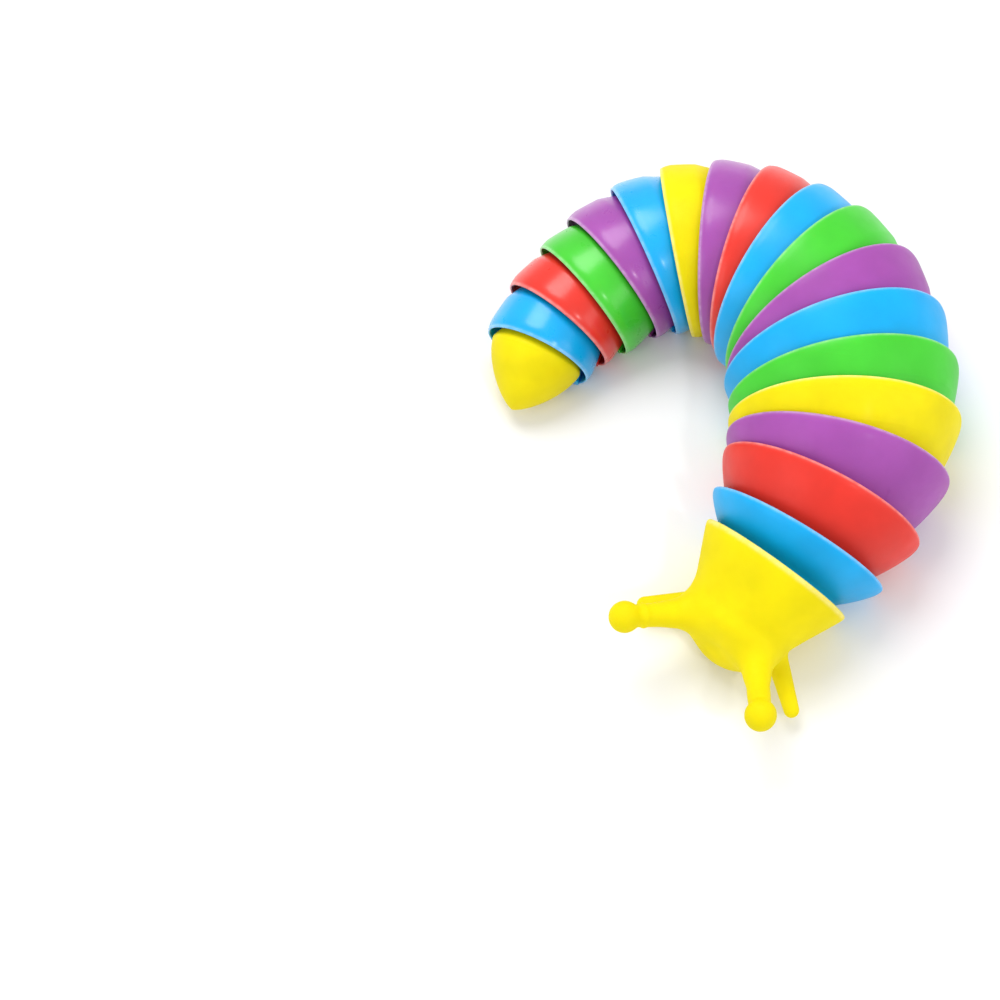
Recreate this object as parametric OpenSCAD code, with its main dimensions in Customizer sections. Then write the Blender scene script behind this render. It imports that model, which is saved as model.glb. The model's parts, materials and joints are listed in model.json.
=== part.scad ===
// Articulated fidget slug: a head with eye stalks, seventeen flared rings and a blunt tail.
// Each piece is one hollow moulding with a flat belly. A forked link under the rear rim of
// each piece reaches back into the next one and snaps over the stud on its belly plate, so
// the chain wags from side to side on eighteen upright hinges.
// The slug lies on z = 0 with its tail curled round on its right. The origin is on the belly
// plane, on the hinge line between the two middle pieces.

/* [Shell] */
// Radius of the widest rear rim
rim_r_max = 24.8; // [23.8:0.2:25.6]
// Radius of the head's rear rim
rim_r_head = 17.2; // [16:0.2:18]
// Radius of the rear rim of the last ring
rim_r_tail = 12.4; // [11.6:0.2:13]
// Wall thickness of the shells
wall = 1; // [0.8:0.1:1.2]
// How far each rim stands proud of the shell that it covers
rim_step = 2.2; // [2:0.1:2.6]
// Height of the shell's axis above the belly, as a share of the rim radius
axis_share = 0.6; // [0.55:0.01:0.65]

/* [Belly and hinges] */
// Thickness of the belly plates
belly_t = 2; // [1.8:0.1:2.2]
// Radial clearance between a link's eye and its stud
pin_clearance = 0.05; // [0.03:0.01:0.1]
// Largest bend of a body joint to either side
body_stop = 15; // [12:1:15]
// Largest bend of the two joints behind the neck to either side
shoulder_stop = 13; // [11:1:13]
// Largest bend of the two neck joints to either side
neck_stop = 5.5; // [4:0.5:5.5]

/* [Head] */
// Length of the head from its rear rim to the chin
head_length = 22; // [21:0.5:23]
// Radius of the balls on the eye stalks
eye_r = 3.2; // [3:0.1:3.5]
// Angle between each eye stalk and the head's centre line
stalk_angle = 40; // [36:1:42]

/* [Tail] */
// Length of the tail cone behind the last rim
tail_length = 13; // [12:0.5:14]

/* [Hidden] */
$fn = 96;

YELLOW = [0.98, 0.90, 0.02];
BLUE = [0.05, 0.62, 0.88];
RED = [0.90, 0.20, 0.16];
PURPLE = [0.62, 0.28, 0.62];
GREEN = [0.28, 0.76, 0.24];
piece_colour = [
    YELLOW, BLUE, RED, PURPLE, YELLOW, GREEN, BLUE, PURPLE, GREEN, BLUE,
    RED, PURPLE, YELLOW, BLUE, PURPLE, GREEN, RED, BLUE, YELLOW
];

ring_count = 17;
joint_count = ring_count + 1;
middle_joint = 8;

// Hinge-to-hinge length of each ring, head end first
ring_pitch = [
    8.8, 10.4, 9.4, 8.5, 8, 8.6, 7.4, 8.2, 7.2, 7.2, 7.5, 7.4, 7.2, 7.6, 7.6, 7.4, 7.8
];
// Bend of each joint as the slug lies, anticlockwise from above on the way to the tail
rest_bend = [5, 5, 13, 13, 10, 8, 14, 15, 8, 15, 15, 15, 15, 14, 2, 12, 13, 1];
// Direction from the head towards the neck
head_heading = 57;

// Rim radius of piece i: it grows quickly behind the head, then tapers towards the tail
widest = 6;
neck_power = 3;
taper_power = 1.3;
function rim_r(i) =
    i < widest
        ? rim_r_max - (rim_r_max - rim_r_head) * pow(1 - i / widest, neck_power)
        : rim_r_max - (rim_r_max - rim_r_tail) * pow((i - widest) / (ring_count - widest), taper_power);
// How much wider a ring's rim is than the rim ahead of it
function growth(i) = i < 1 || i > ring_count ? 0 : max(0, rim_r(i) - rim_r(i - 1));
// Distance that the hinge lies behind the rim of piece i
function rim_back(i) = 0.5 + rim_r(i) / 4;
// Height of the shell's axis at the hinge behind piece i; the tail is this much slimmer
tail_step = 1.2;
function hinge_z(i) =
    axis_share * (rim_r(i) + (i < ring_count ? rim_r(i + 1) : rim_r(i) - tail_step)) / 2;
// Length of piece i from hinge to hinge: the head is drawn about its one hinge
function pitch(i) = i == 0 ? 0 : ring_pitch[i - 1];
// Radius of the stud that takes the link of piece i
function stud_r(i) = 1 + rim_r(i) / 32;
// Downward slope of a ring's axis between its two hinges
function tilt(i) = atan2(hinge_z(i - 1) - hinge_z(i), pitch(i));

// Plan position and heading of each hinge, summed along the chain from the head
function heading(i) =
    i == 0 ? head_heading : heading(i - 1) + min(rest_bend[i - 1], stop_angle(i - 1));
function along(i) = pitch(i) * [cos(heading(i)), sin(heading(i)), 0];
function hinge_sum(i) = i == 0 ? [0, 0, 0] : hinge_sum(i - 1) + along(i);
function hinge_pos(i) = hinge_sum(i) - hinge_sum(middle_joint);

// Belly plates meet on a seam this far behind the rim, with this gap between them
seam_behind_rim = 1.2;
seam_gap = 0.4;
function seam_x(i) = -rim_back(i) + seam_behind_rim;
function stop_angle(i) = i < 2 ? neck_stop : i < 4 ? shoulder_stop : body_stop;
// Each seam opens towards the sides by half the joint's stop angle and a little to spare
seam_spare = 0.6;
function seam_slope(i) = stop_angle(i) / 2 + seam_spare;
function front_seam(i) = seam_x(i - 1) + seam_gap / 2;
function rear_seam(i) = pitch(i) + seam_x(i) - seam_gap / 2;

// The hidden nose of each piece: how far it reaches under the rim ahead, how much it
// narrows on the way, and how high it stays above the neighbour's belly plate
growth_share = 0.6;
function nose_lap(i) = rim_r(i - 1) / 3.6;
function nose_drop(i) = rim_r(i - 1) / 8 + growth_share * growth(i - 1);
nose_clear = 0.5;

// Links: gap over the belly plate, thickness, width of a leg, how much thinner a leg is above
// and below, width of the ring round the eye, radius of a foot, and half the feet's spread
link_gap = 0.3;
link_z = belly_t + link_gap;
link_t = 1.7;
leg_w = 2.2;
leg_step = 0.2;
eye_ring_w = 1.5;
foot_r = 1.4;
function foot_y(i) = 0.6 + rim_r(i) / 3.8;

// Flare of the shells: chords along it, its curve, and the bevel on the rims and studs
band_steps = 6;
band_power = 1.3;
bevel = 0.3;
// Larger than any piece, for cutting prisms
far = 60;

// Head: its flare, its rounded face, its chin and the roots of its stalks and feelers
head_tilt = tilt(1) - 2;
flare_len = 14;
face_r = 11;
face_depth = 6.5;
chin_r = 8;
chin_z = 6.5;
stalk_root = [-16.8, 7, 12];
stalk_reach = 15;
stalk_rise = 7;
stalk_buried = 6;
stalk_flare = 5;
stalk_radii = [5, 4.4, 2.7, 2.2];
feeler_root = [-11, 7, 6.2];
feeler_angle = 52;
feeler_dip = 8;
feeler_len = 15.2;
feeler_radii = [2.2, 1.4];

// Tail: dip of its axis, and how full and how blunt it is
tail_tilt = 13;
tail_steps = 10;
tail_fullness = 2.2;
tail_bluntness = 0.7;

// Lays a solid made on the z axis along x, with its far end dipped by a slope
module lay(height, slope) {
    translate([0, 0, height]) rotate([0, 90 + slope, 0]) children();
}

// Everything behind a seam, and everything ahead of one, as tall prisms on the belly plane
module behind_seam(x, slope) {
    edge = x + far * tan(slope);
    linear_extrude(far) polygon([[x, 0], [edge, far], [far, far], [far, -far], [edge, -far]]);
}
module ahead_of_seam(x, slope) {
    edge = x - far * tan(slope);
    linear_extrude(far) polygon([[x, 0], [edge, -far], [-far, -far], [-far, far], [edge, far]]);
}
module between_seams(i) {
    intersection() {
        if (i > 0) behind_seam(front_seam(i), seam_slope(i - 1));
        if (i < joint_count) ahead_of_seam(rear_seam(i), seam_slope(i));
        translate([-far, -far, 0]) cube([2 * far, 2 * far, far]);
    }
}

// Trims a shell: the belly plane between its own seams, above the plate of the piece
// ahead in front of them, and above that piece's link where the nose goes under its rim
module trim_belly(i) {
    intersection() {
        children();
        union() {
            translate([-far, -far, link_z + link_t + nose_clear])
                cube([2 * far, 2 * far, far]);
            translate([i > 0 ? -rim_back(i - 1) : -far, -far, belly_t + nose_clear])
                cube([2 * far, 2 * far, far]);
            between_seams(i);
        }
    }
}

// Cuts a belly plate out of a solid
module belly_plate(i) {
    intersection() {
        children();
        between_seams(i);
        translate([-far, -far, 0]) cube([2 * far, 2 * far, belly_t]);
    }
}

// Straight bar between two points in plan
module bar(from, to, width, height) {
    run = to - from;
    translate(from) rotate([0, 0, atan2(run[1], run[0])]) translate([0, -width / 2, 0])
        cube([norm(run), width, height]);
}

// Stud on a belly plate, with a snap rim above the link's eye
module stud(r) {
    top = link_z + link_t + bevel;
    rotate_extrude()
        polygon([
            [0, belly_t / 2],
            [r, belly_t / 2],
            [r, top],
            [r + bevel, top + bevel],
            [r + bevel, top + 2 * bevel],
            [r - bevel, top + 4 * bevel],
            [0, top + 4 * bevel]
        ]);
}

// Forked link, drawn about its eye: two feet on the belly plate ahead, and the eye itself
module link(i) {
    foot_x = -rim_back(i) - foot_r;
    difference() {
        union() {
            translate([0, 0, link_z]) cylinder(h = link_t, r = stud_r(i) + eye_ring_w);
            for (side = [-1, 1]) {
                translate([0, 0, link_z + leg_step])
                    bar([foot_x, side * foot_y(i)], [0, 0], leg_w, link_t - 2 * leg_step);
                translate([foot_x, side * foot_y(i), belly_t / 2])
                    cylinder(h = link_z + link_t - belly_t / 2, r = foot_r);
            }
        }
        translate([0, 0, link_z - 1]) cylinder(h = link_t + 2, r = stud_r(i) + pin_clearance);
    }
}

// Outer radius of ring i where it comes out from under the rim ahead of it, and from there
// to its own rim, at x along its axis
function start_r(i) = rim_r(i - 1) - rim_step - growth_share * growth(i);
function rim_x(i) = pitch(i) - rim_back(i);
function band_len(i) = rim_x(i) + rim_back(i - 1);
function band_r(i, x) =
    rim_r(i) - (rim_r(i) - start_r(i)) * pow((rim_x(i) - x) / band_len(i), band_power);
function nose_x(i) = -rim_back(i - 1) - nose_lap(i);
// Outline of ring i from its rim to its nose, moved in by an inset
function ring_outline(i, inset) = [
    for (k = [0 : band_steps])
        let (x = rim_x(i) - bevel - (band_len(i) - bevel) * k / band_steps)
            [band_r(i, x) - inset, x],
    [start_r(i) - nose_drop(i) - inset, nose_x(i)]
];
function reversed(list) = [for (k = [len(list) - 1 : -1 : 0]) list[k]];

// One ring, drawn about its front hinge: flared shell, belly plate, stud and link
module ring(i) {
    rim = rim_r(i);
    trim_belly(i) lay(hinge_z(i - 1), tilt(i)) rotate_extrude()
        polygon(concat(
            [[rim - bevel, rim_x(i)]],
            ring_outline(i, 0),
            reversed(ring_outline(i, wall)),
            [[rim - wall, rim_x(i)]]
        ));
    belly_plate(i) lay(hinge_z(i - 1), tilt(i)) rotate_extrude()
        polygon(concat(
            [[0, rim_x(i) + 1], [rim - wall / 2, rim_x(i) + 1]],
            ring_outline(i, wall / 2),
            [[0, nose_x(i)]]
        ));
    stud(stud_r(i - 1));
    translate([pitch(i), 0, 0]) link(i);
}

// Outline of the head from its rim to the middle of its face, moved in by an inset
function head_outline(inset) = [
    for (a = [0 : 15 : 90])
        [(face_r - inset) * cos(a), -flare_len - (face_depth - inset) * sin(a)]
];

module eye_stalk(side) {
    reach = norm([stalk_reach, stalk_rise]);
    translate([stalk_root[0], side * stalk_root[1], stalk_root[2]])
        rotate([0, 0, 180 - side * stalk_angle])
            rotate([0, 90 - atan2(stalk_rise, stalk_reach), 0]) {
                translate([0, 0, -stalk_buried])
                    cylinder(h = stalk_buried, r1 = stalk_radii[0], r2 = stalk_radii[1]);
                cylinder(h = stalk_flare, r1 = stalk_radii[1], r2 = stalk_radii[2]);
                translate([0, 0, stalk_flare])
                    cylinder(h = reach - stalk_flare, r1 = stalk_radii[2], r2 = stalk_radii[3]);
                translate([0, 0, reach]) sphere(r = eye_r);
            }
}

module feeler(side) {
    translate([feeler_root[0], side * feeler_root[1], feeler_root[2]])
        rotate([0, 0, 180 - side * feeler_angle]) rotate([0, 90 + feeler_dip, 0]) {
            cylinder(h = feeler_len, r1 = feeler_radii[0], r2 = feeler_radii[1]);
            translate([0, 0, feeler_len]) sphere(r = feeler_radii[1]);
        }
}

// Head, drawn about its rear hinge, with its face towards -x
module head_piece() {
    rim = rim_r(0);
    difference() {
        trim_belly(0) translate([-rim_back(0), 0, 0]) {
            lay(hinge_z(0) - rim_back(0) * tan(head_tilt), head_tilt) rotate_extrude()
                polygon(concat([[0, 0], [rim - bevel, 0], [rim, -bevel]], head_outline(0)));
            translate([chin_r - head_length, 0, chin_z]) sphere(r = chin_r);
            for (side = [-1, 1]) {
                eye_stalk(side);
                feeler(side);
            }
        }
        intersection() {
            translate([-rim_back(0), 0, hinge_z(0) - rim_back(0) * tan(head_tilt)])
                rotate([0, 90 + head_tilt, 0]) rotate_extrude()
                    polygon(concat([[0, 2], [rim - wall, 2], [rim - wall, 0]], head_outline(wall)));
            translate([-far, -far, belly_t]) cube([2 * far, 2 * far, far]);
        }
    }
    link(0);
}

// Outline of the tail from the rim ahead of it to its blunt tip, moved in by an inset
function tail_outline(inset) = [
    [start_r(joint_count) - nose_drop(joint_count) - inset, nose_x(joint_count)],
    for (k = [0 : tail_steps])
        let (t = k / tail_steps)
            [
                (start_r(joint_count) - inset) * pow(1 - pow(t, tail_fullness), tail_bluntness),
                t * (tail_length - 1.5 * inset) - rim_back(ring_count)
            ]
];

// Tail cone, drawn about its hinge
module tail_piece() {
    difference() {
        trim_belly(joint_count) lay(hinge_z(ring_count), tail_tilt) rotate_extrude()
            polygon(concat([[0, nose_x(joint_count)]], tail_outline(0)));
        difference() {
            lay(hinge_z(ring_count), tail_tilt) rotate_extrude()
                polygon(concat(
                    [[0, nose_x(joint_count) - 1],
                     [start_r(joint_count) - nose_drop(joint_count) - wall, nose_x(joint_count) - 1]],
                    tail_outline(wall)
                ));
            belly_plate(joint_count) translate([-far, -far, 0]) cube(2 * far);
        }
    }
    stud(stud_r(ring_count));
}

// Puts a piece on its hinge in the curled pose
module place(i, hinge) {
    color(piece_colour[i]) translate(hinge_pos(hinge)) rotate([0, 0, heading(i)]) children();
}

module head() {
    place(0, 0) head_piece();
}
module tail() {
    place(joint_count, ring_count) tail_piece();
}

head();
for (i = [1 : ring_count]) place(i, i - 1) ring(i);
tail();
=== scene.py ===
import json
import math

import bmesh
import bpy
import numpy as np
from mathutils import Matrix, Vector

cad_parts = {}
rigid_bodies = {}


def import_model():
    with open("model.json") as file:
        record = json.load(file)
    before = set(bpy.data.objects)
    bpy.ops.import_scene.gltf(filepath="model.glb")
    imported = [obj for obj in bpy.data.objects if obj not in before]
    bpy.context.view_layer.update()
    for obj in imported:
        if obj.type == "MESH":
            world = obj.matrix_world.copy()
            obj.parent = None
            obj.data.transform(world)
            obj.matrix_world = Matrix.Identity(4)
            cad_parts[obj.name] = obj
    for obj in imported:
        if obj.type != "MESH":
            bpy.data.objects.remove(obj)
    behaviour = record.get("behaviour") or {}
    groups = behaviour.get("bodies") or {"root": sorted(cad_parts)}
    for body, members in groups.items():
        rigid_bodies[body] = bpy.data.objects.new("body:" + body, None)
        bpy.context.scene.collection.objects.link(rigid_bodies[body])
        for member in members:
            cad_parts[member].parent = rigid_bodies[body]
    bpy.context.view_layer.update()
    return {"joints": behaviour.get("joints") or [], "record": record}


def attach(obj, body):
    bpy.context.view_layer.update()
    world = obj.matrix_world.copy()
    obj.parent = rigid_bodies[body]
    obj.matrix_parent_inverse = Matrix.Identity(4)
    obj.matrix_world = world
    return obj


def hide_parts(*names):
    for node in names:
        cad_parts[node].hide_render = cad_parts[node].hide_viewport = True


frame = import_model()

MM = 0.001
NAMES = ["head"] + ["ring_%02d" % i for i in range(1, 18)] + ["tail"]
RINGS = 17
LAST = RINGS + 1

# Sizes in millimetres, as in the CAD source
RIM_MAX, RIM_HEAD, RIM_TAIL = 24.8, 17.2, 12.4
WALL, RIM_STEP, AXIS_SHARE = 1.0, 2.2, 0.6
BELLY_T, LINK_GAP, LINK_T, NOSE_CLEAR = 2.0, 0.3, 1.7, 0.5
WIDEST, NECK_POWER, TAPER_POWER, BAND_POWER = 6, 3.0, 1.3, 1.3
TAIL_STEP, GROWTH_SHARE = 1.2, 0.6
SEAM_BEHIND_RIM, SEAM_GAP, SEAM_SPARE = 1.2, 0.4, 0.6
STOPS = [5.5, 5.5, 13, 13] + [15] * 14
HEAD_HEADING = 57.0


# ------------------------------------------------------------ the chain, from its joints
def read_chain():
    """Hinge k joins piece k to piece k + 1: its place in millimetres and its rest bend."""
    place, bend = {}, {}
    for j in frame["joints"]:
        k = min(NAMES.index(j["parent"]), NAMES.index(j["child"]))
        place[k] = Vector((j["pos_m"][0] / MM, j["pos_m"][1] / MM))
        bend[k] = -0.5 * (j["range_deg"][0] + j["range_deg"][1])
    return [place[k] for k in range(LAST)], [bend[k] for k in range(LAST)]


HINGE, BEND = read_chain()
PITCH = [0.0] + [(HINGE[i] - HINGE[i - 1]).length for i in range(1, LAST)]
HEADING = [math.radians(HEAD_HEADING)]
for k in range(LAST):
    HEADING.append(HEADING[-1] + math.radians(BEND[k]))


def rim_r(i):
    if i < WIDEST:
        return RIM_MAX - (RIM_MAX - RIM_HEAD) * (1 - i / WIDEST) ** NECK_POWER
    return RIM_MAX - (RIM_MAX - RIM_TAIL) * ((i - WIDEST) / (RINGS - WIDEST)) ** TAPER_POWER


def growth(i):
    return 0.0 if i < 1 or i > RINGS else max(0.0, rim_r(i) - rim_r(i - 1))


def rim_back(i):
    return 0.5 + rim_r(i) / 4


def hinge_z(i):
    return AXIS_SHARE * (rim_r(i) + (rim_r(i + 1) if i < RINGS else rim_r(i) - TAIL_STEP)) / 2


def stud_r(i):
    return 1 + rim_r(i) / 32


def tilt(i):
    return math.atan2(hinge_z(i - 1) - hinge_z(i), PITCH[i])


def start_r(i):
    return rim_r(i - 1) - RIM_STEP - GROWTH_SHARE * growth(i)


def nose_lap(i):
    return rim_r(i - 1) / 3.6


def nose_drop(i):
    return rim_r(i - 1) / 8 + GROWTH_SHARE * growth(i - 1)


def seam_slope(i):
    return math.tan(math.radians(STOPS[i] / 2 + SEAM_SPARE))


def to_row(i, hinge):
    """Matrix from a piece's own millimetres to the row frame in metres."""
    h = HINGE[hinge]
    return (Matrix.Translation((h.x * MM, h.y * MM, 0)) @ Matrix.Rotation(HEADING[i], 4, "Z")
            @ Matrix.Scale(MM, 4))


# ------------------------------------------------------------ mesh helpers
WELD_DISTANCE = 1e-6


class Builder:
    """Collects vertices, faces and a lip mask for one piece, in its own millimetres."""

    def __init__(self):
        self.verts, self.faces, self.lip = [], [], []

    def add(self, verts, faces, lip=None):
        base = len(self.verts)
        self.verts += [tuple(v) for v in verts]
        self.faces += [tuple(base + a for a in f) for f in faces]
        self.lip += list(lip) if lip is not None else [0.0] * len(verts)

    def grid(self, rows, lip=None, closed=False):
        """Quads between rows of equal length. closed joins the first and last columns."""
        n = len(rows[0])
        faces = []
        for a in range(len(rows) - 1):
            for b in range(n if closed else n - 1):
                c = (b + 1) % n
                faces.append((a * n + b, a * n + c, (a + 1) * n + c, (a + 1) * n + b))
        self.add([v for row in rows for v in row], faces, lip)

    def lathe(self, profile, centre=(0, 0), steps=40):
        """Revolves a closed list of (radius, z) about an upright axis."""
        rows = [[(centre[0] + r * math.cos(2 * math.pi * k / steps),
                  centre[1] + r * math.sin(2 * math.pi * k / steps), z)
                 for k in range(steps)] for r, z in profile]
        axis_points = [k for k, (r, z) in enumerate(profile) if r < 1e-6]
        if axis_points:
            rows = rows[1:-1]
            base = len(self.verts)
            self.grid(rows, closed=True)
            ends = ((0, profile[0][1], 0), (len(rows) - 1, profile[-1][1], 1))
            for row, z, flip in ends:
                tip = len(self.verts)
                fan = []
                for k in range(steps):
                    a, b = base + row * steps + k, base + row * steps + (k + 1) % steps
                    fan.append((tip, b, a) if not flip else (tip, a, b))
                self.verts.append((centre[0], centre[1], z))
                self.lip.append(0.0)
                self.faces += fan
        else:
            self.grid(rows + [rows[0]], closed=True)

    def prism(self, outline, low, high, edge=0.2):
        """Upright prism on a plan outline, with its long edges eased by edge."""
        cx = sum(p[0] for p in outline) / len(outline)
        cy = sum(p[1] for p in outline) / len(outline)

        def ring(inset, z):
            out = []
            for x, y in outline:
                d = math.hypot(x - cx, y - cy)
                out.append((x - (x - cx) / d * inset, y - (y - cy) / d * inset, z))
            return out
        rows = [ring(edge, low), ring(0, low + edge), ring(0, high - edge), ring(edge, high)]
        base = len(self.verts)
        self.grid(rows, closed=True)
        n = len(outline)
        self.faces.append(tuple(base + k for k in reversed(range(n))))
        self.faces.append(tuple(base + 3 * n + k for k in range(n)))

    def make(self, name, matrix, sharp=35.0):
        mesh = bpy.data.meshes.new(name)
        mesh.from_pydata([matrix @ Vector(v) for v in self.verts], [], self.faces)
        # The lip mask tells the material where to paint the highlight along each rim.
        attr = mesh.attributes.new("lip", "FLOAT", "POINT")
        attr.data.foreach_set("value", self.lip)
        mesh.validate()
        weld(mesh)
        mesh.polygons.foreach_set("use_smooth", [True] * len(mesh.polygons))
        mesh.set_sharp_from_angle(angle=math.radians(sharp))
        obj = bpy.data.objects.new(name, mesh)
        bpy.context.collection.objects.link(obj)
        return obj


def weld(mesh):
    bm = bmesh.new()
    bm.from_mesh(mesh)
    bmesh.ops.remove_doubles(bm, verts=bm.verts, dist=WELD_DISTANCE)
    bmesh.ops.recalc_face_normals(bm, faces=bm.faces)
    bm.to_mesh(mesh)
    bm.free()


# ------------------------------------------------------------ rings
ROUND_STEPS, BAND_STEPS, LIP_ARC = 112, 24, 5
FIRST_FULL, FULL_SPAN = 8, 4
EASE, EASE_FULL, EASE_LEN, EASE_LEN_FULL = 0.3, 0.28, 2.0, 0.8
LIP_R, LIP_R_FULL, LIP_FADE, LEAST_WALL = 0.36, 0.06, 0.22, 0.45
FULL_POWER, INNER_SPARE, NOSE_EASE = 0.3, 0.12, 0.3
FLOOR_RAMP = 2.4
PLATE_INSET, PLATE_STEPS = 0.55, 6
EYE_WALL, FOOT_R, ARM_HALF, FOOT_LOW = 1.5, 1.4, 1.1, 1.0


def ring_pairs(i):
    """Pairs of outer and inner (s, r) points along a ring's shell, nose first, and a lip mask."""
    rim, start = rim_r(i), start_r(i)
    front, rear = -rim_back(i - 1), PITCH[i] - rim_back(i)
    nose = front - nose_lap(i)
    # The tail half has fuller bands and rounder lips than the rings behind the neck
    full = max(0.0, min(1.0, (i - FIRST_FULL) / FULL_SPAN))
    ease, ease_len = EASE + EASE_FULL * full, EASE_LEN + EASE_LEN_FULL * full
    lip_r = LIP_R + LIP_R_FULL * full

    def outer(s):
        if s < front:
            return start - nose_drop(i) * (front - s) / nose_lap(i)
        behind = rear - s
        power = BAND_POWER + FULL_POWER * full
        r = rim - (rim - start) * (behind / (rear - front)) ** power
        return r - ease * max(0.0, 1 - behind / ease_len) ** 2

    pairs, mask = [], []
    stations = [nose + t * (front - nose) for t in (0, 0.04, 0.3, 0.6, 0.9)]
    stations += [front + (rear - lip_r - front) * (k / BAND_STEPS) ** 0.8
                 for k in range(BAND_STEPS + 1)]
    for s in stations:
        r = outer(s)
        behind = rear - s
        low_r = r - WALL + INNER_SPARE
        if s >= front:
            mixed = max(0.0, min(1.0, (2.4 - behind) / 1.4))
            low_r = low_r * (1 - mixed) + (rim - WALL) * mixed if mixed else low_r
            low_r = min(low_r, r - LEAST_WALL)
        nose_ease = NOSE_EASE if s == nose else 0.0
        pairs.append(((s, r - nose_ease), (s, low_r + nose_ease * 0.6)))
        # Mask for the painted rim highlight: full on the lip, fading forward of it.
        mask.append(math.exp(-(max(0.0, behind - lip_r) / LIP_FADE) ** 2))
    s_c = rear - lip_r
    ro, ri = pairs[-1][0][1], pairs[-1][1][1]
    mid, half = (ro + ri) / 2, (ro - ri) / 2
    for k in range(1, LIP_ARC + 1):
        a = math.radians(90 * k / (LIP_ARC + 0.35))
        s = s_c + lip_r * math.sin(a)
        pairs.append(((s, mid + half * math.cos(a)), (s, mid - half * math.cos(a))))
        mask.append(1.0)
    return pairs, mask


def section_point(axis_z, slope, s, r, theta):
    """Point at axial place s and radius r, theta from straight up."""
    c, n = math.cos(slope), math.sin(slope)
    up = r * math.cos(theta)
    return (s * c + up * n, r * math.sin(theta), axis_z - s * n + up * c)


def theta_at(axis_z, slope, s, r, z0):
    """Largest angle from the top before a section goes below z0."""
    q = (z0 - axis_z + s * math.sin(slope)) / (r * math.cos(slope))
    return math.acos(max(-1.0, min(1.0, q)))


def add_shell(b, i):
    """Flared shell: an outer and an inner sheet, cut at its foot to clear the plate ahead."""
    pairs, mask = ring_pairs(i)
    axis_z, slope = hinge_z(i - 1), tilt(i)
    seam_front = -rim_back(i - 1) + SEAM_BEHIND_RIM + SEAM_GAP / 2
    high = BELLY_T + NOSE_CLEAR
    top_z = BELLY_T + LINK_GAP + LINK_T + NOSE_CLEAR
    # The foot of each station stays above the link and the plate ahead, and comes down to the
    # ground behind the seam
    stations = []
    for (o, n), m in zip(pairs, mask):
        # Where this station meets the level of the belly plates
        drop = (BELLY_T / 2 - axis_z + o[0] * math.sin(slope)) / math.cos(slope)
        x = o[0] * math.cos(slope) + drop * math.sin(slope)
        base = high if x > -rim_back(i - 1) + 0.1 else top_z
        axis_h = axis_z - x * math.tan(slope)
        half = math.sqrt(max(0.0, o[1] ** 2 - axis_h ** 2))
        behind_seam = x - seam_front - half * seam_slope(i - 1)
        if behind_seam > 0:
            base = high * max(0.0, 1 - behind_seam / FLOOR_RAMP) ** 2
        stations.append((o, n, m, base))
    # A station where the foot drops from the link's level to the plate's is given twice
    doubled = []
    for k, st in enumerate(stations):
        if k and st[3] < stations[k - 1][3] - 1:
            doubled.append((st[0], st[1], st[2], stations[k - 1][3]))
        doubled.append(st)
    outer_rows, inner_rows, lip = [], [], []
    for o, n, m, base in doubled:
        row_o, row_n = [], []
        to = theta_at(axis_z, slope, o[0], o[1], base)
        tn = theta_at(axis_z, slope, n[0], n[1], base)
        for j in range(ROUND_STEPS + 1):
            u = -1 + 2 * j / ROUND_STEPS
            row_o.append(section_point(axis_z, slope, o[0], o[1], u * to))
            row_n.append(section_point(axis_z, slope, n[0], n[1], u * tn))
        outer_rows.append(row_o)
        inner_rows.append(row_n)
        lip += [m] * (ROUND_STEPS + 1)
    # The inner sheet gets half of the painted rim highlight and the rear edge all of it.
    b.grid(outer_rows, lip)
    b.grid([list(reversed(row)) for row in inner_rows], [0.5 * m for m in lip])
    b.grid([outer_rows[0], inner_rows[0]])
    b.grid([inner_rows[-1], outer_rows[-1]], [1.0] * (2 * (ROUND_STEPS + 1)))
    for j in (0, ROUND_STEPS):
        b.grid([[row[j] for row in outer_rows], [row[j] for row in inner_rows]])


def plate_outline(i, front, rear, half_at):
    """Plan of a belly plate: V-shaped seams front and rear, sides under the shell."""
    xf = front + half_at(front) * seam_slope(i - 1)
    xr = rear - half_at(rear) * seam_slope(i)
    right = []
    for k in range(PLATE_STEPS + 1):
        x = xf + (xr - xf) * k / PLATE_STEPS
        right.append((x, half_at(x)))
    left = [(x, -y) for x, y in reversed(right)]
    return [(front, 0.0)] + right + [(rear, 0.0)] + left


def add_plate(b, i):
    slope, axis_z = tilt(i), hinge_z(i - 1)
    front = -rim_back(i - 1) + SEAM_BEHIND_RIM + SEAM_GAP / 2
    rear = PITCH[i] - rim_back(i) + SEAM_BEHIND_RIM - SEAM_GAP / 2
    s0, s1 = -rim_back(i - 1), PITCH[i] - rim_back(i)

    def half_at(x):
        u = max(0.0, min(1.0, (s1 - x) / (s1 - s0)))
        r = rim_r(i) - (rim_r(i) - start_r(i)) * u ** BAND_POWER - PLATE_INSET
        h = axis_z - x * math.tan(slope)
        return math.sqrt(max(1.0, r * r - h * h))
    b.prism(plate_outline(i, front, rear, half_at), 0.0, BELLY_T)


def add_stud(b, r):
    """Snap stud at the front hinge, rooted in the belly plate."""
    top = BELLY_T + LINK_GAP + LINK_T + 0.3
    b.lathe([(0, FOOT_LOW), (r, FOOT_LOW), (r, top), (r + 0.3, top + 0.3), (r + 0.3, top + 0.6),
             (r - 0.3, top + 1.2), (0, top + 1.2)])


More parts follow.
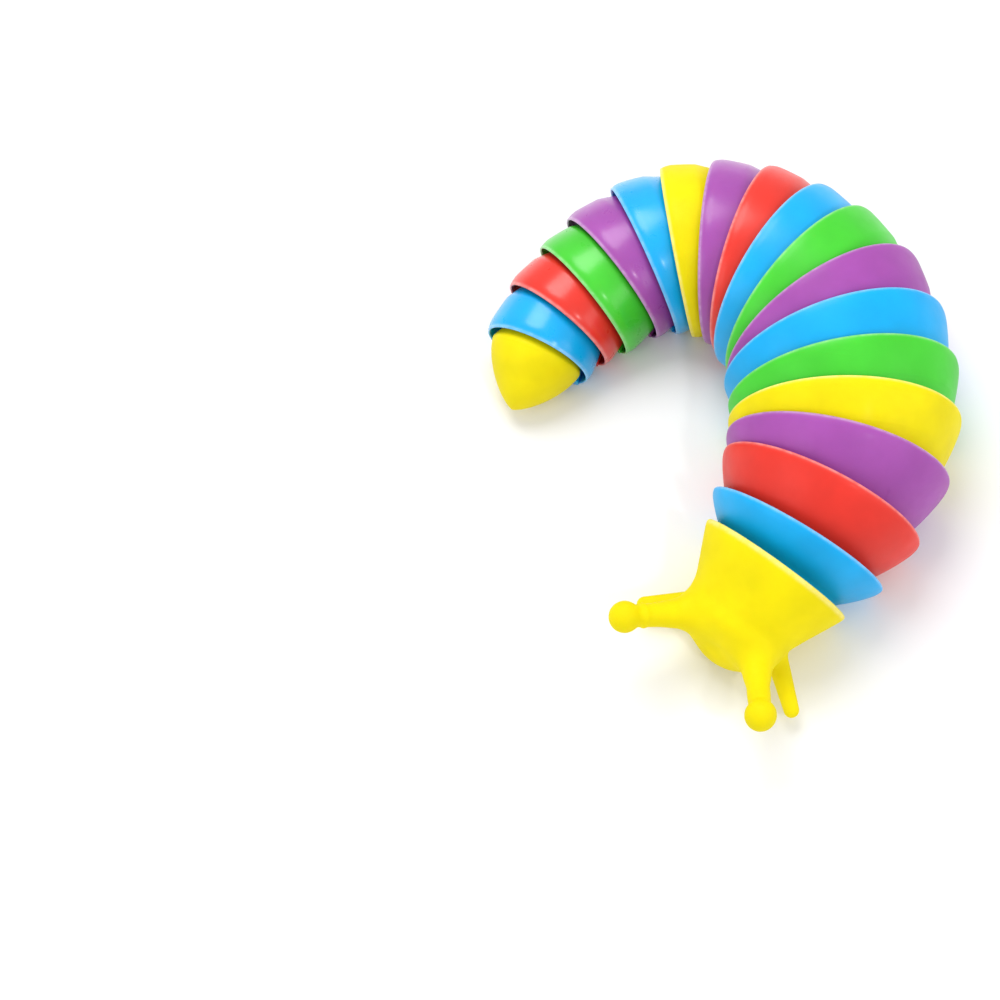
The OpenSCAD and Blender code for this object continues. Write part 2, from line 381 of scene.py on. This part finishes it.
def add_link(b, i, at):
    """Forked link: an eye round the next stud and two arms from two feet ahead of it."""
    low = BELLY_T + LINK_GAP
    hole, out = stud_r(i) + 0.05, stud_r(i) + EYE_WALL
    b.lathe([(hole, low + 0.15), (hole + 0.15, low), (out - 0.2, low), (out, low + 0.2),
             (out, low + LINK_T - 0.2), (out - 0.2, low + LINK_T), (hole + 0.15, low + LINK_T),
             (hole, low + LINK_T - 0.15)], centre=(at, 0))
    fx, fy = at - rim_back(i) - FOOT_R, 0.6 + rim_r(i) / 3.8
    for side in (-1, 1):
        b.lathe([(0, FOOT_LOW), (FOOT_R, FOOT_LOW), (FOOT_R, low + LINK_T - 0.25),
                 (1.15, low + LINK_T), (0, low + LINK_T)], centre=(fx, side * fy))
        run = Vector((at - fx, -side * fy))
        length = run.length - (hole + 0.4)
        d = run.normalized()
        n = Vector((-d.y, d.x)) * ARM_HALF
        a = Vector((fx, side * fy))
        e = a + d * length
        b.prism([tuple(a - n), tuple(e - n), tuple(e + n), tuple(a + n)],
                low + 0.2, low + LINK_T - 0.2, edge=0.15)


# ------------------------------------------------------------ blended head and tail
def smooth_min(a, b, k):
    h = np.clip(0.5 + 0.5 * (b - a) / k, 0, 1)
    return b + (a - b) * h - k * h * (1 - h)


def smooth_max(a, b, k):
    return -smooth_min(-a, -b, k)


def round_cone(p, a, b, ra, rb):
    """Distance to a cone with ball ends between points a and b."""
    a, b = np.array(a, float), np.array(b, float)
    d = b - a
    t = np.clip(((p - a) @ d) / (d @ d), 0, 1)
    return np.linalg.norm(p - (a + t[:, None] * d), axis=1) - (ra + (rb - ra) * t)


def profile_field(s, rad, curve):
    """Signed distance in the (s, radius) plane to a body of revolution under a curve of
    (s, radius) points, given from one end on its axis to its open end."""
    q = np.stack([s, rad], 1)
    best = np.full(len(q), 1e9)
    for p0, p1 in zip(curve[:-1], curve[1:]):
        d = p1 - p0
        t = np.clip(((q - p0) @ d) / (d @ d), 0, 1)
        best = np.minimum(best, np.linalg.norm(q - p0 - t[:, None] * d, axis=1))
    order = np.argsort(curve[:, 0])
    reach = np.interp(s, curve[order, 0], curve[order, 1])
    beyond = (s < curve[:, 0].min()) | (s > curve[:, 0].max())
    inside = (rad < reach) & ~beyond
    return np.where(inside, -best, best)


FIELD_BATCHES, PROBE_STEP, SETTLE_ROUNDS = 24, 0.02, 3


def surface_nets(field, low, high, cell):
    """Closed mesh of field = 0 inside a box, with its vertices moved onto the surface."""
    n = [int(math.ceil((high[a] - low[a]) / cell)) + 1 for a in range(3)]
    axes = [low[a] + cell * np.arange(n[a]) for a in range(3)]
    grid = np.stack(np.meshgrid(*axes, indexing="ij"), -1).reshape(-1, 3)
    parts = [field(part) for part in np.array_split(grid, FIELD_BATCHES)]
    val = np.concatenate(parts).reshape(n)
    inside = val < 0
    corner = [(x, y, z) for x in (0, 1) for y in (0, 1) for z in (0, 1)]

    def shifted(arr, c):
        return arr[c[0]:n[0] - 1 + c[0], c[1]:n[1] - 1 + c[1], c[2]:n[2] - 1 + c[2]]
    count = sum(shifted(inside, c).astype(int) for c in corner)
    active = (count > 0) & (count < 8)
    total, weight = np.zeros(active.shape + (3,)), np.zeros(active.shape)
    for a in range(8):
        for b in range(a + 1, 8):
            ca, cb = corner[a], corner[b]
            if sum(abs(ca[q] - cb[q]) for q in range(3)) != 1:
                continue
            va, vb = shifted(val, ca), shifted(val, cb)
            cross = (va < 0) != (vb < 0)
            t = np.where(cross, va / np.where(cross, va - vb, 1), 0)
            for q in range(3):
                total[..., q] += np.where(cross, ca[q] + t * (cb[q] - ca[q]), 0)
            weight += cross
    index = -np.ones(active.shape, int)
    cells = np.argwhere(active)
    index[active] = np.arange(len(cells))
    verts = cells + total[active] / weight[active][:, None]
    verts = np.array(low) + cell * verts
    faces = []
    for q in range(3):
        r, s = (q + 1) % 3, (q + 2) % 3
        lo = [slice(None)] * 3
        hi = [slice(None)] * 3
        lo[q], hi[q] = slice(0, n[q] - 1), slice(1, n[q])
        a, b = inside[tuple(lo)], inside[tuple(hi)]
        for flip, mask in ((False, a & ~b), (True, ~a & b)):
            at = np.argwhere(mask)
            keep = (at[:, r] > 0) & (at[:, s] > 0)
            keep = keep & (at[:, r] < n[r] - 1) & (at[:, s] < n[s] - 1)
            at = at[keep]
            quad = []
            for dr, ds in ((1, 1), (0, 1), (0, 0), (1, 0)):
                c = at.copy()
                c[:, r] -= dr
                c[:, s] -= ds
                quad.append(index[c[:, 0], c[:, 1], c[:, 2]])
            quad = np.stack(quad, 1)
            faces.append(quad[:, ::-1] if flip else quad)
    faces = np.concatenate(faces)
    step = PROBE_STEP
    for _ in range(SETTLE_ROUNDS):
        f = field(verts)
        g = np.stack([(field(verts + step * e) - field(verts - step * e)) / (2 * step)
                      for e in np.eye(3)], 1)
        move = -(f / np.maximum((g * g).sum(1), 0.05))[:, None] * g
        size = np.linalg.norm(move, axis=1, keepdims=True)
        verts = verts + move * np.minimum(1, 0.5 * cell / np.maximum(size, 1e-9))
    return verts, faces


HEAD_TILT = tilt(1) - math.radians(2)
HEAD_BACK = rim_back(0)
HEAD_AXIS_Z = hinge_z(0) - HEAD_BACK * math.tan(HEAD_TILT)
STALK_ROOT, STALK_REACH, STALK_RISE, STALK_ANGLE = (-16.8, 7.0, 12.0), 15.0, 7.0, 40.0
FEELER_ROOT, FEELER_ANGLE, FEELER_DIP, FEELER_LEN = (-11.0, 7.0, 6.2), 52.0, 8.0, 15.2
FACE_R, FACE_DEPTH, FLARE_LEN = 11.0, 6.5, 14.0
CHIN_CENTRE, CHIN_STRETCH, CHIN_R = (-14.0, 0, 6.5), (1, 1.2, 1), 8.0
STALK_PLACES = [-6, 0, 2.5, 5, 9, 13.2, 15, 17]
STALK_RADII = [5.4, 4.9, 3.9, 3.05, 2.5, 2.25, 2.2, 2.2]
EYE_R, FEELER_ROOT_R, FEELER_TIP_R = 3.2, 2.45, 1.6
CHIN_BLEND, STALK_BLEND, EYE_BLEND, FEELER_BLEND, LIP_BLEND = 1.0, 3.4, 0.5, 1.3, 0.5
HOLLOW_DEPTH = 15.5
HEAD_LOW, HEAD_HIGH, HEAD_CELL = (-33.5, -21.5, -0.7), (1.5, 21.5, 29.5), 0.42
# Side outline of the head from the middle of its face to its rim, and past it
HEAD_CURVE = np.array(
    [(-FLARE_LEN - FACE_DEPTH * math.sin(a), FACE_R * math.cos(a))
     for a in np.linspace(math.pi / 2, 0.12, 14)]
    + [(-13.2, 11.3), (-12, 11.85), (-10, 12.75), (-8, 13.65), (-6, 14.62), (-4, 15.58),
       (-2.6, 16.24), (-1.2, 16.86), (-0.6, 17.08), (0.5, 17.2), (4, 17.2)])


def head_field(p):
    """Signed field of the head in rim millimetres: x = 0 at the rim, the face towards -x."""
    c, n = math.cos(HEAD_TILT), math.sin(HEAD_TILT)
    dz = p[:, 2] - HEAD_AXIS_Z
    s = p[:, 0] * c - dz * n
    up = p[:, 0] * n + dz * c
    rad = np.sqrt(up ** 2 + p[:, 1] ** 2)
    flare = profile_field(s, rad, HEAD_CURVE)
    chin = np.linalg.norm((p - np.array(CHIN_CENTRE)) / np.array(CHIN_STRETCH), axis=1) - CHIN_R
    body = smooth_min(flare, chin, CHIN_BLEND)
    for side in (-1, 1):
        a = math.radians(180 - side * STALK_ANGLE)
        root = np.array([STALK_ROOT[0], side * STALK_ROOT[1], STALK_ROOT[2]])
        reach = math.hypot(STALK_REACH, STALK_RISE)
        d = np.array([math.cos(a) * STALK_REACH, math.sin(a) * STALK_REACH, STALK_RISE]) / reach
        q = p - root
        t = q @ d
        off = np.linalg.norm(q - t[:, None] * d, axis=1)
        radius = np.interp(t, STALK_PLACES, STALK_RADII)
        # As in the photograph, one stalk has a slight collar and the other a slight waist
        if side > 0:
            radius = radius + 0.28 * np.exp(-((t - 12.6) / 0.5) ** 2)
        else:
            radius = radius - 0.14 * np.exp(-((t - 9.5) / 1.6) ** 2)
        neck = np.maximum((off - radius) * 0.93, np.maximum(t - reach, -6.5 - t))
        body = smooth_min(body, neck, STALK_BLEND)
        ball_c = root + d * reach
        squash = np.array([1.0, 1.0, 0.985]) if side > 0 else np.array([1.0, 0.985, 1.0])
        ball = np.linalg.norm((p - ball_c) / squash, axis=1) - EYE_R
        body = smooth_min(body, ball, EYE_BLEND)
        fa = math.radians(180 - side * FEELER_ANGLE)
        fd = math.radians(FEELER_DIP)
        froot = np.array([FEELER_ROOT[0], side * FEELER_ROOT[1], FEELER_ROOT[2]])
        fdir = np.array([math.cos(fa) * math.cos(fd), math.sin(fa) * math.cos(fd), -math.sin(fd)])
        tip = froot + fdir * (FEELER_LEN - 0.2)
        feeler = round_cone(p, froot, tip, FEELER_ROOT_R, FEELER_TIP_R)
        body = smooth_min(body, feeler, FEELER_BLEND)
    body = np.maximum(body, -p[:, 2])
    # Rear cut with a rounded lip, and the hollow inside
    body = smooth_max(body, s, LIP_BLEND)
    lip = 0.35 * np.exp(-((s + 0.6) / 0.9) ** 2)
    hollow = np.maximum(flare + WALL - 0.1 + lip, -(s + HOLLOW_DEPTH))
    # Inside the shell the belly plate ends on its V-shaped seam
    seam = SEAM_BEHIND_RIM - SEAM_GAP / 2 - np.abs(p[:, 1]) * seam_slope(0)
    behind = np.maximum(hollow, seam - p[:, 0])
    hollow = np.minimum(np.maximum(hollow, BELLY_T - p[:, 2]), behind)
    body = smooth_max(body, -hollow, LIP_BLEND)
    return np.maximum(body, -p[:, 2])


TAIL_LEN, TAIL_TILT, TAIL_FULLNESS, TAIL_BLUNTNESS = 13.0, 13, 1.5, 0.75
TAIL_HOLLOW, TAIL_BLEND, TAIL_CELL, TAIL_FRONT = 10.5, 0.4, 0.32, -8.5


def tail_field(p):
    """Signed field of the tail cone in its hinge millimetres."""
    slope = math.radians(TAIL_TILT)
    c, n = math.cos(slope), math.sin(slope)
    dz = p[:, 2] - hinge_z(RINGS)
    s = p[:, 0] * c - dz * n
    up = p[:, 0] * n + dz * c
    rad = np.sqrt(up ** 2 + p[:, 1] ** 2)
    start, front, nose = start_r(LAST), -rim_back(RINGS), -rim_back(RINGS) - nose_lap(LAST)
    curve = [(front + TAIL_LEN * t, start * max(0.0, 1 - t ** TAIL_FULLNESS) ** TAIL_BLUNTNESS)
             for t in 1 - np.linspace(0, 1, 40) ** 1.8]
    curve += [(nose, start - nose_drop(LAST)), (nose - 3, start - nose_drop(LAST))]
    solid = profile_field(s, rad, np.array(curve))
    body = smooth_max(solid, nose - s, TAIL_BLEND)
    hollow = np.maximum(solid + WALL, s - (front + TAIL_HOLLOW))
    hollow = np.maximum(hollow, BELLY_T - p[:, 2])
    body = smooth_max(body, -hollow, TAIL_BLEND)
    body = np.maximum(body, -p[:, 2])
    # The nose clears the plate ahead up to the seam, and the link ahead of the rim
    high = BELLY_T + NOSE_CLEAR
    top_z = BELLY_T + LINK_GAP + LINK_T + NOSE_CLEAR
    seam = front + SEAM_BEHIND_RIM + SEAM_GAP / 2 + np.abs(p[:, 1]) * seam_slope(RINGS)
    cut_a = np.maximum(p[:, 2] - high, p[:, 0] - seam)
    body = np.maximum(body, -cut_a)
    cut_b = np.maximum(p[:, 2] - top_z, p[:, 0] - front)
    return np.maximum(body, -cut_b)


# ------------------------------------------------------------ build
def build_ring(i):
    b = Builder()
    add_shell(b, i)
    add_plate(b, i)
    add_stud(b, stud_r(i - 1))
    add_link(b, i, PITCH[i])
    return b.make("visual_" + NAMES[i], to_row(i, i - 1))


def build_head():
    verts, faces = surface_nets(head_field, HEAD_LOW, HEAD_HIGH, HEAD_CELL)
    b = Builder()
    shift = np.array([-HEAD_BACK, 0, 0])
    s = verts[:, 0] * math.cos(HEAD_TILT) - (verts[:, 2] - HEAD_AXIS_Z) * math.sin(HEAD_TILT)
    # Mask for the painted highlight along the head's rim.
    lip = np.exp(-(np.maximum(0, -0.7 - s) / 0.35) ** 2)
    verts = verts + shift
    verts[:, 2] = np.maximum(verts[:, 2], 0)
    b.add(verts.tolist(), faces.tolist(), lip.tolist())
    add_link(b, 0, 0.0)
    return b.make("visual_head", to_row(0, 0), sharp=60)


def build_tail():
    side, top = start_r(LAST) + 1, hinge_z(RINGS) + start_r(LAST) + 1
    low, high = (TAIL_FRONT, -side, -0.7), (TAIL_LEN - 1, side, top)
    verts, faces = surface_nets(tail_field, low, high, TAIL_CELL)
    verts[:, 2] = np.maximum(verts[:, 2], 0)
    b = Builder()
    b.add(verts.tolist(), faces.tolist())
    add_stud(b, stud_r(RINGS))
    return b.make("visual_tail", to_row(LAST, RINGS), sharp=50)


# ------------------------------------------------------------ moulded plastic
# Base colour of each material slot, in linear light
COLOURS = {
    "yellow": (0.88, 0.74, 0.0), "blue": (0.0, 0.42, 0.88), "red": (0.80, 0.034, 0.020),
    "purple": (0.37, 0.075, 0.40), "green": (0.060, 0.62, 0.030),
}
SLOT_OF = {row["node"]: row["material_slot"] for row in frame["record"]["subparts"]}
# The lip colour is the base colour lightened towards white: a painted highlight along each rim,
# broken up by noise.
DARK_SHARE, LIP_HIGHLIGHT_SHARE = 0.86, 0.22
CLOUD_SCALE, LIP_HIGHLIGHT_BREAKUP_SCALE, SMEAR_SCALE, GRAIN_SCALE = 90.0, 500.0, 260.0, 1900.0
SCRATCH_SCALE, PIT_SCALE = 420.0, 330.0
GRAIN_HEIGHT, SCRATCH_HEIGHT, PIT_HEIGHT = 0.25, 0.35, 0.25
BUMP_STRENGTH, BUMP_DISTANCE = 0.25, 0.00012
COAT_ROUGHNESS, PLASTIC_IOR, SUBSURFACE, SUBSURFACE_SCALE = 0.2, 1.46, 0.06, 0.0015
SPECULAR, SPECULAR_YELLOW = 0.30, 0.16


def plastic(name, slot, rough, coat, seed):
    """Plastic with clouded colour, a painted highlight along the lips, and fine grain, scratches
    and pits.
    """
    mat = bpy.data.materials.new(name)
    mat.use_nodes = True
    nodes, links = mat.node_tree.nodes, mat.node_tree.links
    nodes.clear()
    out = nodes.new("ShaderNodeOutputMaterial")
    bsdf = nodes.new("ShaderNodeBsdfPrincipled")
    links.new(bsdf.outputs[0], out.inputs[0])
    coord = nodes.new("ShaderNodeTexCoord")
    place = nodes.new("ShaderNodeMapping")
    place.inputs["Location"].default_value = (seed * 0.37, seed * 0.19, seed * 0.53)
    links.new(coord.outputs["Object"], place.inputs[0])

    def noise(scale, detail=3.0, roughness=0.55):
        t = nodes.new("ShaderNodeTexNoise")
        t.inputs["Scale"].default_value = scale
        t.inputs["Detail"].default_value = detail
        t.inputs["Roughness"].default_value = roughness
        links.new(place.outputs[0], t.inputs["Vector"])
        return t.outputs["Fac"]

    def ramp(src, a, b, lo, hi):
        m = nodes.new("ShaderNodeMapRange")
        m.inputs["From Min"].default_value = a
        m.inputs["From Max"].default_value = b
        m.inputs["To Min"].default_value = lo
        m.inputs["To Max"].default_value = hi
        links.new(src, m.inputs["Value"])
        return m.outputs[0]

    def math_node(op, a, b):
        m = nodes.new("ShaderNodeMath")
        m.operation = op
        for k, v in enumerate((a, b)):
            if isinstance(v, (int, float)):
                m.inputs[k].default_value = v
            else:
                links.new(v, m.inputs[k])
        return m.outputs[0]

    def mix(fac, a, b):
        m = nodes.new("ShaderNodeMix")
        m.data_type = "RGBA"
        links.new(fac, m.inputs[0])
        for k, v in ((6, a), (7, b)):
            if isinstance(v, tuple):
                m.inputs[k].default_value = v + (1,)
            else:
                links.new(v, m.inputs[k])
        return m.outputs[2]

    base = COLOURS[slot]
    dark = tuple(c * DARK_SHARE for c in base)
    # Colour of the painted highlight along the lips: the base lightened towards white.
    light = tuple(c + (1 - c) * LIP_HIGHLIGHT_SHARE for c in base)
    cloud = ramp(noise(CLOUD_SCALE), 0.3, 0.7, 0.0, 1.0)
    colour = mix(cloud, dark, base)
    # The lip mask, broken up by noise, mixes the painted highlight colour in along each rim.
    lip = nodes.new("ShaderNodeAttribute")
    lip.attribute_name = "lip"
    lip_highlight_breakup = ramp(noise(LIP_HIGHLIGHT_BREAKUP_SCALE, 3.0, 0.6), 0.40, 0.60, 0.5, 0.9)
    colour = mix(math_node("MULTIPLY", lip.outputs["Fac"], lip_highlight_breakup), colour, light)
    links.new(colour, bsdf.inputs["Base Color"])
    smear = noise(SMEAR_SCALE, 4.0, 0.6)
    links.new(ramp(smear, 0.25, 0.75, rough - 0.06, rough + 0.08), bsdf.inputs["Roughness"])
    bsdf.inputs["Coat Weight"].default_value = coat
    bsdf.inputs["Coat Roughness"].default_value = COAT_ROUGHNESS
    bsdf.inputs["IOR"].default_value = PLASTIC_IOR
    specular = SPECULAR_YELLOW if slot == "yellow" else SPECULAR
    bsdf.inputs["Specular IOR Level"].default_value = specular
    bsdf.inputs["Subsurface Weight"].default_value = SUBSURFACE
    bsdf.inputs["Subsurface Scale"].default_value = SUBSURFACE_SCALE
    grain = noise(GRAIN_SCALE, 2.0, 0.5)
    scratch = nodes.new("ShaderNodeTexNoise")
    scratch.inputs["Scale"].default_value = SCRATCH_SCALE
    scratch.inputs["Detail"].default_value = 1.0
    stretch = nodes.new("ShaderNodeMapping")
    stretch.inputs["Scale"].default_value = (0.12, 1.0, 1.0)
    stretch.inputs["Rotation"].default_value = (0.3, 0.4, seed)
    links.new(place.outputs[0], stretch.inputs[0])
    links.new(stretch.outputs[0], scratch.inputs["Vector"])
    lines = ramp(scratch.outputs["Fac"], 0.70, 0.76, 0.0, 1.0)
    pits = ramp(noise(PIT_SCALE, 2.0, 0.4), 0.74, 0.80, 0.0, 1.0)
    height = math_node("SUBTRACT", math_node("MULTIPLY", grain, GRAIN_HEIGHT),
                       math_node("MULTIPLY", lines, SCRATCH_HEIGHT))
    height = math_node("SUBTRACT", height, math_node("MULTIPLY", pits, PIT_HEIGHT))
    bump = nodes.new("ShaderNodeBump")
    bump.inputs["Strength"].default_value = BUMP_STRENGTH
    bump.inputs["Distance"].default_value = BUMP_DISTANCE
    links.new(height, bump.inputs["Height"])
    links.new(bump.outputs[0], bsdf.inputs["Normal"])
    return mat


def finish_of(i):
    """Roughness and coat: the yellow pieces are matt, the tail half is glossier."""
    if i == 0:
        return 0.68, 0.0
    if SLOT_OF[NAMES[i]] == "yellow":
        return 0.58, 0.02
    glossy = max(0.0, min(1.0, (i - 7) / 5))
    return 0.46 - 0.16 * glossy, 0.05 + 0.35 * glossy


for i, name in enumerate(NAMES):
    obj = build_head() if i == 0 else build_tail() if i == LAST else build_ring(i)
    rough, coat = finish_of(i)
    obj.data.materials.append(plastic("mat_" + name, SLOT_OF[name], rough, coat, i + 1))
    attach(obj, name)
    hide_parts(name)


# ------------------------------------------------------------ floor, lights and camera
FLOOR_STEPS, FLOOR_SIZE, FLOOR_Y, FLOOR_Z = 60, 6.0, 0.04, -0.00005
FLOOR_DARK, FLOOR_LIGHT, FLOOR_ROUGH = (0.86, 0.86, 0.87, 1), (0.90, 0.90, 0.91, 1), 0.85


def make_floor():
    n, size = FLOOR_STEPS, FLOOR_SIZE
    row = n + 1
    verts = [((a / n - 0.5) * size, (c / n - 0.5) * size - FLOOR_Y, FLOOR_Z)
             for a in range(row) for c in range(row)]
    faces = [(a * row + c, (a + 1) * row + c, (a + 1) * row + c + 1, a * row + c + 1)
             for a in range(n) for c in range(n)]
    mesh = bpy.data.meshes.new("floor")
    mesh.from_pydata(verts, [], faces)
    obj = bpy.data.objects.new("floor", mesh)
    bpy.context.collection.objects.link(obj)
    mat = bpy.data.materials.new("floor")
    mat.use_nodes = True
    nodes, links = mat.node_tree.nodes, mat.node_tree.links
    bsdf = nodes["Principled BSDF"]
    bsdf.inputs["Roughness"].default_value = FLOOR_ROUGH
    t = nodes.new("ShaderNodeTexNoise")
    t.inputs["Scale"].default_value = 9.0
    r = nodes.new("ShaderNodeValToRGB")
    r.color_ramp.elements[0].color = FLOOR_DARK
    r.color_ramp.elements[1].color = FLOOR_LIGHT
    links.new(t.outputs["Fac"], r.inputs[0])
    links.new(r.outputs[0], bsdf.inputs["Base Color"])
    mesh.materials.append(mat)
    return obj


make_floor()

WORLD_STRENGTH = 0.72
world = bpy.data.worlds.new("studio")
bpy.context.scene.world = world
world.use_nodes = True
world.node_tree.nodes["Background"].inputs[0].default_value = (1, 1, 1, 1)
world.node_tree.nodes["Background"].inputs[1].default_value = WORLD_STRENGTH


def area_light(name, place, target, size, power):
    light = bpy.data.lights.new(name, "AREA")
    light.energy = power
    light.shape = "DISK"
    light.size = size
    obj = bpy.data.objects.new(name, light)
    bpy.context.collection.objects.link(obj)
    obj.location = place
    obj.rotation_euler = (Vector(target) - Vector(place)).to_track_quat("-Z", "Y").to_euler()


MIDDLE = (-0.01, -0.04, 0.01)
area_light("key", (-0.14, 0.22, 0.52), MIDDLE, 0.36, 1.9)
area_light("fill", (-0.45, -0.35, 0.35), MIDDLE, 0.4, 0.6)
area_light("side", (0.5, -0.2, 0.3), MIDDLE, 0.4, 0.6)
area_light("spark", (0.22, -0.30, 0.48), MIDDLE, 0.05, 0.35)

AZIMUTH, ELEVATION, DISTANCE = -3.84, 66.1, 0.40
TARGET = Vector((-0.010, -0.039, 0.012))
SENSOR, FOCAL_SHARE = 36.0, 1.912
SHIFT_X, SHIFT_Y, CLIP_START = -0.2196, -0.0578, 0.01
camera = bpy.data.cameras.new("camera")
camera.sensor_width = SENSOR
camera.lens = SENSOR * FOCAL_SHARE
camera.shift_x = SHIFT_X
camera.shift_y = SHIFT_Y
camera.clip_start = CLIP_START
eye = bpy.data.objects.new("camera", camera)
bpy.context.collection.objects.link(eye)
e, a = math.radians(ELEVATION), math.radians(AZIMUTH)
towards_eye = Vector((-math.sin(a) * math.cos(e), -math.cos(a) * math.cos(e), math.sin(e)))
eye.location = TARGET + towards_eye * DISTANCE
eye.rotation_euler = (TARGET - eye.location).to_track_quat("-Z", "Y").to_euler()
bpy.context.scene.camera = eye
bpy.context.scene.view_settings.view_transform = "Standard"

bpy.context.view_layer.update()
